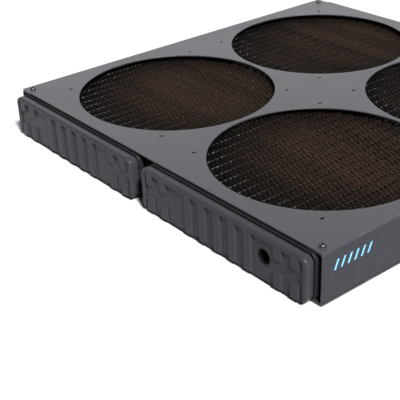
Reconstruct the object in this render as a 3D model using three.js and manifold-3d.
import * as THREE from "three";
import { mergeVertices } from "three/addons/utils/BufferGeometryUtils.js";
import Module from "manifold-3d";

// Liquid cooling radiator for four large fans. Millimetres, +Z up, origin under the middle of the base.
// The front end (-Y) carries the bleed port, the rear end (+Y) the inlet and the outlet.
// Each core is a U-flow: its front tank turns the water round, its rear tank is split by a baffle.

// ---- body ----
const BODY_SIDE = 424.6; // fan plates are square, side panels are as long
const BODY_HEIGHT = 45.5; // underside of the bottom plate to the face of the top plate
const PLATE_SHEET = 1.2;
const PANEL_SHEET = 1;
const PANEL_BEND = 2; // outside radius of the folded edges
const PANEL_FLANGE = 14;
const PLATE_SEAT = 0.2; // paint line between a plate and the flanges under it
const CLEARANCE = 0.3; // left wherever one piece sits in another

// ---- fan openings, the same in both plates ----
const FANS_PER_SIDE = 2;
const FAN_PITCH = 200;
const FAN_OPENING_RADIUS = 97.5;
const FAN_SCREW_PITCH = 154;
const FAN_SCREW_RADIUS = 1.8;
const OPENING_SEGMENTS = 56;
const HOLE_SEGMENTS = 8;

// ---- screws that hold the plates to the flanges ----
const FIXING_INSET = 7.8; // from the edges of the plates to the screws
const FIXING_HOLE_RADIUS = 1.9;
const SCREW_RADIUS = 1.4;
const SCREW_REACH = 5; // shank below the face of the plate, clear of the fins
const SCREW_HEAD_RADIUS = 3;
const SCREW_SEAT = 0.1; // the head's underside above the plate
const SCREW_HEAD_HEIGHT = 1.8;
const SCREW_CROWN_RADIUS = 1.9; // the flat top of the rounded head
const SCREW_SOCKET_RADIUS = 1.1;
const SCREW_SOCKET_DEPTH = 1.1;
const SCREW_SEGMENTS = 12;

// ---- cores ----
const TUBES_PER_CORE = 17;
const TUBE_PITCH = 11.8;
const TUBE_WIDTH = 2;
const TUBE_HEIGHT = 31.9;
const TUBE_WALL = 0.4;
const TUBE_REACH = 211; // tube ends stand just inside the tanks
const TUBE_END_STEPS = 3;
const FIN_REACH = 207.5;
const FIN_HEIGHT = 34.5;
const FIN_BLOCK_WIDTH = 210.4;
const CORE_CENTRE_X = 106;

// ---- headers and tanks ----
const TANK_CENTRE_X = 107.5;
const TANK_WIDTH = 200;
const TANK_HEIGHT = 39.5;
const TANK_CORNER = 7;
const TANK_FACE_Y = 223.5; // outer face of the tank
const TANK_SHOULDER_Y = 215.7; // where the body steps in to the neck
const TANK_NECK_Y = 209.3;
const TANK_WALL = 1.2;
const TANK_EDGE = 2.5; // rounding between the face and the walls, outside and inside
const TANK_EDGE_STEPS = 3;
const HEADER_CORNER = 6;
const HEADER_HEIGHT = 40.1;
const HEADER_INNER_Y = 208;
const HEADER_SHEET = 1;
const HEADER_RIM_Y = 214.3;
const RING_CORNER_STEPS = 3;

// ---- pressed relief of the tank's face: a rim, full ribs and short teeth stand out of a sunk land ----
const LAND_DEPTH = 1.4;
const RIM_WIDTH = 3.4;
const RIBS = 5;
const RIB_PITCH = 18.2;
const RIB_WIDTH = 8.4;
const TEETH_X = [69.5, 88]; // either side of the tank's middle, from the top and from the bottom
const TOOTH_LENGTH = 10; // beyond the rim

// ---- ports, crossover and baffles ----
const PORT_OFFSET = 52.9; // from the middle of the tank, towards the side panel
const PORT_HOLE_RADIUS = 8; // in the tank's sheet
const BOSS_RADIUS = 10; // the boss is brazed behind the sheet
const BOSS_LENGTH = 8.5;
const RING_REACH = 0.3; // the ring in front of the boss that stands in the sheet's hole
const PORT_BORE = 5.9;
const PORT_MOUTH = 6.7;
const PORT_CHAMFER = 0.9;
const PORT_SEGMENTS = 24;
const CROSSOVER_Y = 211.8;
const CROSSOVER_WIDTH = 3.6;
const CROSSOVER_HEIGHT = 24;
const CROSSOVER_WALL = 0.6;
const CROSSOVER_END_STEPS = 4;
const CROSSOVER_REACH = 10.3; // each way from the middle, into both tanks
const BAFFLE_SHEET = 1.2;
const BAFFLE_OFFSET = TUBE_PITCH / 2; // between two tubes, just outside the middle one
const BAFFLE_MARGIN = 0.5; // short of the tank's inner face

const MID_HEIGHT = BODY_HEIGHT / 2;
const HALF_SIDE = BODY_SIDE / 2;
const TOP_PLATE_Z = BODY_HEIGHT - PLATE_SHEET;
const FIXING_AT = HALF_SIDE - FIXING_INSET;
const NECK_INSET = HEADER_SHEET + CLEARANCE;
const NECK_WIDTH = TANK_WIDTH - 2 * NECK_INSET;
const NECK_HEIGHT = HEADER_HEIGHT - 2 * NECK_INSET;
const TANK_FLOOR_Y = TANK_FACE_Y - LAND_DEPTH - TANK_WALL; // inner face of the tank
const BOSS_FACE_Y = TANK_FLOOR_Y - CLEARANCE;
const WELD = 1e-4;
const OVERSHOOT = 2; // a cutting body runs this far past the faces it opens
const ARC_MIDDLE = 1 - Math.SQRT1_2; // inset of the middle of a rounded corner, as a share of its radius

const wasm = await Module();
wasm.setup();

const SATIN_CHARCOAL = new THREE.MeshStandardMaterial({ color: 0x6e6c72, roughness: 0.5, metalness: 0.55 });
const PANEL_PAINT = new THREE.MeshStandardMaterial({ color: 0x54555e, roughness: 0.5, metalness: 0.5 });
const TANK_PAINT = new THREE.MeshStandardMaterial({ color: 0x555458, roughness: 0.45, metalness: 0.4 });
const FIN_COPPER = new THREE.MeshStandardMaterial({ color: 0x3a2a22, roughness: 0.6, metalness: 0.7 });
const TUBE_COPPER = new THREE.MeshStandardMaterial({ color: 0x8a5a3c, roughness: 0.45, metalness: 0.9 });
const BRASS = new THREE.MeshStandardMaterial({ color: 0x9a7b3c, roughness: 0.4, metalness: 0.9 });
const BLACK_STEEL = new THREE.MeshStandardMaterial({ color: 0x2b2b2e, roughness: 0.4, metalness: 0.8 });

// ---- booleans ----

function solidOf(geometry) {
  const bare = new THREE.BufferGeometry();
  bare.setAttribute("position", geometry.getAttribute("position"));
  bare.setIndex(geometry.index);
  const merged = mergeVertices(bare, WELD);
  const vertProperties = new Float32Array(merged.attributes.position.array);
  const triVerts = new Uint32Array(merged.index.array);
  return new wasm.Manifold(new wasm.Mesh({ numProp: 3, vertProperties, triVerts }));
}

function cut(body, tools) {
  let left = solidOf(body);
  for (const tool of tools) left = left.subtract(solidOf(tool));
  const mesh = left.getMesh();
  const geometry = new THREE.BufferGeometry();
  geometry.setAttribute("position", new THREE.BufferAttribute(mesh.vertProperties, 3));
  geometry.setIndex(new THREE.BufferAttribute(mesh.triVerts, 1));
  const faceted = geometry.toNonIndexed();
  faceted.computeVertexNormals();
  return faceted;
}

// ---- shapes and prisms ----

function circlePoints(x, y, radius, segments) {
  return Array.from({ length: segments }, (_, i) => {
    const angle = (2 * Math.PI * (i + 0.5)) / segments;
    return new THREE.Vector2(x + radius * Math.cos(angle), y + radius * Math.sin(angle));
  });
}

function obround(width, height, segments) {
  const radius = width / 2;
  const straight = height / 2 - radius;
  const points = [];
  for (let i = 0; i <= segments; i++) {
    const angle = (Math.PI * i) / segments;
    points.push(new THREE.Vector2(radius * Math.cos(angle), straight + radius * Math.sin(angle)));
  }
  const lower = points.map((p) => p.clone().negate());
  return new THREE.Shape([...points, ...lower]);
}

function prismAlongZ(shape, z0, z1) {
  const geometry = new THREE.ExtrudeGeometry(shape, { depth: z1 - z0, bevelEnabled: false });
  return geometry.translate(0, 0, z0);
}

// The shape is drawn in X and Z.
function prismAlongY(shape, y0, y1) {
  const geometry = new THREE.ExtrudeGeometry(shape, { depth: y1 - y0, bevelEnabled: false });
  return geometry.rotateX(Math.PI / 2).translate(0, y1, 0);
}

// The shape is drawn in Y and Z.
function prismAlongX(shape, x0, x1) {
  const geometry = new THREE.ExtrudeGeometry(shape, { depth: x1 - x0, bevelEnabled: false });
  return geometry.rotateX(Math.PI / 2).rotateZ(Math.PI / 2).translate(x0, 0, 0);
}

// One ring of a rounded rectangle in X and Z, at a given Y, counter-clockwise seen from -Y.
function roundedRing(width, height, radius, y) {
  const ring = [];
  const corners = [[1, 1, 0], [-1, 1, 1], [-1, -1, 2], [1, -1, 3]];
  for (const [sx, sz, quarter] of corners) {
    for (let i = 0; i <= RING_CORNER_STEPS; i++) {
      const angle = (Math.PI / 2) * (quarter + i / RING_CORNER_STEPS);
      const x = sx * (width / 2 - radius) + radius * Math.cos(angle);
      const z = sz * (height / 2 - radius) + radius * Math.sin(angle);
      ring.push([x, y, z]);
    }
  }
  return ring;
}

// Skins a stack of rings, first ring nearest to +Y, and caps both ends.
function loft(rings) {
  const count = rings[0].length;
  const positions = rings.flat(2);
  const index = [];
  for (let level = 0; level + 1 < rings.length; level++) {
    for (let i = 0; i < count; i++) {
      const here = level * count + i;
      const next = level * count + ((i + 1) % count);
      index.push(here, next + count, here + count);
      index.push(here, next, next + count);
    }
  }
  const last = (rings.length - 1) * count;
  for (let i = 1; i + 1 < count; i++) {
    index.push(0, i + 1, i);
    index.push(last, last + i, last + i + 1);
  }
  const geometry = new THREE.BufferGeometry();
  geometry.setAttribute("position", new THREE.Float32BufferAttribute(positions, 3));
  geometry.setIndex(index);
  return geometry;
}

// ---- fan plates ----

function gridPositions(perSide, pitch) {
  return Array.from({ length: perSide }, (_, i) => (i - (perSide - 1) / 2) * pitch);
}

// The four corners of a rectangle, in order round it.
function cornersOf(centreX, centreY, halfX, halfY) {
  const turns = [[1, 1], [-1, 1], [-1, -1], [1, -1]];
  return turns.map(([sx, sy]) => [centreX + sx * halfX, centreY + sy * halfY]);
}

function fanPlate(z0) {
  const outline = cornersOf(0, 0, HALF_SIDE, HALF_SIDE);
  const shape = new THREE.Shape(outline.map(([x, y]) => new THREE.Vector2(x, y)));
  const centres = gridPositions(FANS_PER_SIDE, FAN_PITCH);
  for (const x of centres) {
    for (const y of centres) {
      shape.holes.push(new THREE.Path(circlePoints(x, y, FAN_OPENING_RADIUS, OPENING_SEGMENTS)));
      for (const [hx, hy] of cornersOf(x, y, FAN_SCREW_PITCH / 2, FAN_SCREW_PITCH / 2)) {
        shape.holes.push(new THREE.Path(circlePoints(hx, hy, FAN_SCREW_RADIUS, HOLE_SEGMENTS)));
      }
    }
  }
  for (const [x, y] of cornersOf(0, 0, FIXING_AT, FIXING_AT)) {
    shape.holes.push(new THREE.Path(circlePoints(x, y, FIXING_HOLE_RADIUS, HOLE_SEGMENTS)));
  }
  return prismAlongZ(shape, z0, z0 + PLATE_SHEET);
}

function coverScrew(x, y) {
  const under = BODY_HEIGHT + SCREW_SEAT;
  const top = BODY_HEIGHT + SCREW_HEAD_HEIGHT;
  const midRadius = SCREW_HEAD_RADIUS - (SCREW_HEAD_RADIUS - SCREW_CROWN_RADIUS) * ARC_MIDDLE;
  const midHeight = top - (top - under) * ARC_MIDDLE;
  const profile = [
    [0, BODY_HEIGHT - SCREW_REACH],
    [SCREW_RADIUS, BODY_HEIGHT - SCREW_REACH],
    [SCREW_RADIUS, under],
    [SCREW_HEAD_RADIUS, under],
    [midRadius, midHeight],
    [SCREW_CROWN_RADIUS, top],
    [SCREW_SOCKET_RADIUS, top],
    [SCREW_SOCKET_RADIUS, top - SCREW_SOCKET_DEPTH],
    [0, top - SCREW_SOCKET_DEPTH],
  ].map(([r, z]) => new THREE.Vector2(r, z));
  return new THREE.LatheGeometry(profile, SCREW_SEGMENTS).rotateX(Math.PI / 2).translate(x, y, 0);
}

// ---- side panels ----

function panelProfile(side) {
  const bottom = PLATE_SHEET + PLATE_SEAT;
  const top = BODY_HEIGHT - bottom;
  const inner = HALF_SIDE - PANEL_SHEET;
  const lip = HALF_SIDE - PANEL_FLANGE;
  const cornerCut = PANEL_BEND * ARC_MIDDLE;
  const outside = [
    [lip, bottom],
    [HALF_SIDE - PANEL_BEND, bottom],
    [HALF_SIDE - cornerCut, bottom + cornerCut],
    [HALF_SIDE, bottom + PANEL_BEND],
    [HALF_SIDE, top - PANEL_BEND],
    [HALF_SIDE - cornerCut, top - cornerCut],
    [HALF_SIDE - PANEL_BEND, top],
    [lip, top],
  ];
  const inside = [
    [lip, top - PANEL_SHEET],
    [inner - PANEL_SHEET, top - PANEL_SHEET],
    [inner, top - 2 * PANEL_SHEET],
    [inner, bottom + 2 * PANEL_SHEET],
    [inner - PANEL_SHEET, bottom + PANEL_SHEET],
    [lip, bottom + PANEL_SHEET],
  ];
  return new THREE.Shape([...outside, ...inside].map(([x, z]) => new THREE.Vector2(side * x, z)));
}

function sidePanel(side) {
  const blank = prismAlongY(panelProfile(side), -HALF_SIDE, HALF_SIDE);
  const fixingHoles = [-1, 1].map((end) => {
    const outline = circlePoints(side * FIXING_AT, end * FIXING_AT, FIXING_HOLE_RADIUS, HOLE_SEGMENTS);
    return prismAlongZ(new THREE.Shape(outline), 0, BODY_HEIGHT);
  });
  return cut(blank, fixingHoles);
}

// ---- cores ----

function tubeX(side, index) {
  const fromCentre = (index - (TUBES_PER_CORE - 1) / 2) * TUBE_PITCH;
  return side * CORE_CENTRE_X + fromCentre;
}

function flatTube(side, index) {
  const shape = obround(TUBE_WIDTH, TUBE_HEIGHT, TUBE_END_STEPS);
  const bore = obround(TUBE_WIDTH - 2 * TUBE_WALL, TUBE_HEIGHT - 2 * TUBE_WALL, TUBE_END_STEPS);
  shape.holes.push(new THREE.Path(bore.getPoints()));
  return prismAlongY(shape, -TUBE_REACH, TUBE_REACH).translate(tubeX(side, index), 0, MID_HEIGHT);
}

function tubeSlots(y0, y1, offsetX, height) {
  const shape = obround(TUBE_WIDTH + 2 * CLEARANCE, TUBE_HEIGHT + 2 * CLEARANCE, TUBE_END_STEPS);
  return Array.from({ length: TUBES_PER_CORE }, (_, index) =>
    prismAlongY(shape, y0, y1).translate(tubeX(0, index) + offsetX, 0, height),
  );
}

function finPack(side) {
  const block = new THREE.BoxGeometry(FIN_BLOCK_WIDTH, 2 * FIN_REACH, FIN_HEIGHT);
  const slots = tubeSlots(-FIN_REACH - OVERSHOOT, FIN_REACH + OVERSHOOT, 0, 0);
  return cut(block, slots).translate(side * CORE_CENTRE_X, 0, MID_HEIGHT);
}

// ---- headers and tanks: drawn for the front end with X = 0 at the middle of the tank ----

// Turns a front-end piece to the rear if asked, and moves it to its side.
function placeAtEnd(geometry, end, side) {
  if (end > 0) geometry.rotateZ(Math.PI);
  return geometry.translate(side * TANK_CENTRE_X, 0, MID_HEIGHT);
}

// A slot for the crossover in the wall that faces the other core.
function crossoverSlot(wallX) {
  const width = CROSSOVER_WIDTH + 2 * CLEARANCE;
  const height = CROSSOVER_HEIGHT + 2 * CLEARANCE;
  const shape = obround(width, height, CROSSOVER_END_STEPS);
  const half = 2 * OVERSHOOT;
  return prismAlongX(shape, wallX - half, wallX + half).translate(0, -CROSSOVER_Y, 0);
}

// +1 or -1: the wall of a piece, as drawn, that faces the other core once it is placed.
function inwardSign(end, side) {
  return end > 0 ? side : -side;
}

function header(end, side) {
  const outer = loft([
    roundedRing(TANK_WIDTH, HEADER_HEIGHT, HEADER_CORNER, -HEADER_INNER_Y),
    roundedRing(TANK_WIDTH, HEADER_HEIGHT, HEADER_CORNER, -HEADER_RIM_Y),
  ]);
  const width = TANK_WIDTH - 2 * HEADER_SHEET;
  const height = HEADER_HEIGHT - 2 * HEADER_SHEET;
  const tray = loft([
    roundedRing(width, height, HEADER_CORNER - HEADER_SHEET, -HEADER_INNER_Y - HEADER_SHEET),
    roundedRing(width, height, HEADER_CORNER - HEADER_SHEET, -HEADER_RIM_Y - OVERSHOOT),
  ]);
  const coreShift = (CORE_CENTRE_X - TANK_CENTRE_X) * -inwardSign(end, side);
  const slots = tubeSlots(-HEADER_RIM_Y, -HEADER_INNER_Y + OVERSHOOT, coreShift, 0);
  const tools = [tray, ...slots];
  if (end > 0) tools.push(crossoverSlot(inwardSign(end, side) * (TANK_WIDTH / 2)));
  return placeAtEnd(cut(outer, tools), end, side);
}

function tankOutside() {
  const neckCorner = HEADER_CORNER - NECK_INSET;
  const rings = [
    roundedRing(NECK_WIDTH, NECK_HEIGHT, neckCorner, -TANK_NECK_Y),
    roundedRing(NECK_WIDTH, NECK_HEIGHT, neckCorner, -TANK_SHOULDER_Y),
    roundedRing(TANK_WIDTH, TANK_HEIGHT, TANK_CORNER, -TANK_SHOULDER_Y),
  ];
  for (let i = 0; i <= TANK_EDGE_STEPS; i++) {
    const angle = (Math.PI / 2) * (i / TANK_EDGE_STEPS);
    const inset = TANK_EDGE * (1 - Math.cos(angle));
    const y = TANK_FACE_Y - TANK_EDGE * (1 - Math.sin(angle));
    rings.push(roundedRing(TANK_WIDTH - 2 * inset, TANK_HEIGHT - 2 * inset, TANK_CORNER - inset / 2, -y));
  }
  return loft(rings);
}

function tankInside() {
  const width = NECK_WIDTH - 2 * TANK_WALL;
  const height = NECK_HEIGHT - 2 * TANK_WALL;
  return loft([
    roundedRing(width, height, TANK_WALL, -TANK_NECK_Y + OVERSHOOT),
    roundedRing(width, height, TANK_WALL, -TANK_FLOOR_Y + TANK_EDGE),
    roundedRing(width - TANK_EDGE, height - TANK_EDGE, TANK_WALL, -TANK_FLOOR_Y),
  ]);
}

// Sinks the land inside an outline in X and Z.
function pocket(outline) {
  const shape = new THREE.Shape(outline.map(([x, z]) => new THREE.Vector2(x, z)));
  return prismAlongY(shape, -TANK_FACE_Y - OVERSHOOT, -TANK_FACE_Y + LAND_DEPTH);
}

// The land between the outer rib and the rim at the tank's end, notched for the teeth.
function endPanelOutline(side) {
  const top = TANK_HEIGHT / 2 - RIM_WIDTH;
  const inner = ((RIBS - 1) / 2) * RIB_PITCH + RIB_WIDTH / 2;
  const outer = TANK_WIDTH / 2 - RIM_WIDTH;
  const upper = [[inner, top]];
  for (const x of TEETH_X) {
    const from = x - RIB_WIDTH / 2;
    const to = x + RIB_WIDTH / 2;
    upper.push([from, top], [from, top - TOOTH_LENGTH], [to, top - TOOTH_LENGTH], [to, top]);
  }
  upper.push([outer, top]);
  const lower = upper.map(([x, z]) => [x, -z]).reverse();
  return [...upper, ...lower].map(([x, z]) => [side * x, z]);
}

function reliefCuts() {
  const top = TANK_HEIGHT / 2 - RIM_WIDTH;
  const half = (RIB_PITCH - RIB_WIDTH) / 2;
  const between = gridPositions(RIBS - 1, RIB_PITCH);
  const gaps = between.map((x) => pocket(cornersOf(x, 0, half, top)));
  return [...gaps, pocket(endPanelOutline(1)), pocket(endPanelOutline(-1))];
}

function portHole(x) {
  const outline = circlePoints(x, 0, PORT_HOLE_RADIUS, PORT_SEGMENTS);
  return prismAlongY(new THREE.Shape(outline), -TANK_FACE_Y - OVERSHOOT, -TANK_SHOULDER_Y);
}

function tank(end, side, hasPort) {
  const tools = [tankInside(), ...reliefCuts()];
  if (hasPort) tools.push(portHole(-inwardSign(end, side) * PORT_OFFSET));
  if (end > 0) tools.push(crossoverSlot(inwardSign(end, side) * (NECK_WIDTH / 2)));
  return placeAtEnd(cut(tankOutside(), tools), end, side);
}

function portBoss(end, side) {
  const inner = BOSS_FACE_Y - BOSS_LENGTH;
  const ringFace = BOSS_FACE_Y + RING_REACH;
  const ringRadius = PORT_HOLE_RADIUS - CLEARANCE;
  const profile = [
    [PORT_BORE, inner],
    [BOSS_RADIUS, inner],
    [BOSS_RADIUS, BOSS_FACE_Y],
    [ringRadius, BOSS_FACE_Y],
    [ringRadius, ringFace],
    [PORT_MOUTH, ringFace],
    [PORT_BORE, ringFace - PORT_CHAMFER],
    [PORT_BORE, inner],
  ].map(([r, y]) => new THREE.Vector2(r, y));
  const boss = new THREE.LatheGeometry(profile, PORT_SEGMENTS);
  boss.rotateZ(Math.PI).translate(-inwardSign(end, side) * PORT_OFFSET, 0, 0);
  return placeAtEnd(boss, end, side);
}

function baffle(side) {
  const inner = HEADER_INNER_Y + HEADER_SHEET + CLEARANCE;
  const height = NECK_HEIGHT - 2 * TANK_WALL - 2 * CLEARANCE;
  const outer = TANK_FLOOR_Y - BAFFLE_MARGIN;
  const chamfer = TANK_EDGE / 2 + CLEARANCE;
  const bend = TANK_FLOOR_Y - TANK_EDGE - CLEARANCE;
  const outline = [
    [inner, -height / 2],
    [bend, -height / 2],
    [outer, chamfer - height / 2],
    [outer, height / 2 - chamfer],
    [bend, height / 2],
    [inner, height / 2],
  ];
  const shape = new THREE.Shape(outline.map(([y, z]) => new THREE.Vector2(y, z)));
  const x = side * (CORE_CENTRE_X + BAFFLE_OFFSET);
  return prismAlongX(shape, x - BAFFLE_SHEET / 2, x + BAFFLE_SHEET / 2).translate(0, 0, MID_HEIGHT);
}

function crossover() {
  const boreWidth = CROSSOVER_WIDTH - 2 * CROSSOVER_WALL;
  const boreHeight = CROSSOVER_HEIGHT - 2 * CROSSOVER_WALL;
  const shape = obround(CROSSOVER_WIDTH, CROSSOVER_HEIGHT, CROSSOVER_END_STEPS);
  const bore = obround(boreWidth, boreHeight, CROSSOVER_END_STEPS);
  shape.holes.push(new THREE.Path(bore.getPoints()));
  const duct = prismAlongX(shape, -CROSSOVER_REACH, CROSSOVER_REACH);
  return duct.translate(0, CROSSOVER_Y, MID_HEIGHT);
}

// ---- assembly ----

const radiator = new THREE.Group();
radiator.name = "liquid_cooling_radiator";

function addPiece(name, geometry, material) {
  const mesh = new THREE.Mesh(geometry, material);
  mesh.name = name;
  radiator.add(mesh);
}

const SIDES = { left: -1, right: 1 };
const ENDS = { front: -1, rear: 1 };

addPiece("top_fan_plate", fanPlate(TOP_PLATE_Z), SATIN_CHARCOAL);
addPiece("bottom_fan_plate", fanPlate(0), SATIN_CHARCOAL);

for (const [sideName, side] of Object.entries(SIDES)) {
  addPiece(`side_panel_${sideName}`, sidePanel(side), PANEL_PAINT);
  addPiece(`fin_pack_${sideName}`, finPack(side), FIN_COPPER);
  for (let index = 0; index < TUBES_PER_CORE; index++) {
    const number = String(index + 1).padStart(2, "0");
    addPiece(`tube_${sideName}_${number}`, flatTube(side, index), TUBE_COPPER);
  }
  for (const [endName, end] of Object.entries(ENDS)) {
    const hasPort = end > 0 || side > 0;
    addPiece(`header_${endName}_${sideName}`, header(end, side), BRASS);
    addPiece(`tank_${endName}_${sideName}`, tank(end, side, hasPort), TANK_PAINT);
    if (hasPort) addPiece(`port_boss_${endName}_${sideName}`, portBoss(end, side), BRASS);
    const screw = coverScrew(side * FIXING_AT, end * FIXING_AT);
    addPiece(`cover_screw_${endName}_${sideName}`, screw, BLACK_STEEL);
  }
  addPiece(`tank_baffle_${sideName}`, baffle(side), BRASS);
}
addPiece("crossover_duct", crossover(), BRASS);

export default radiator;
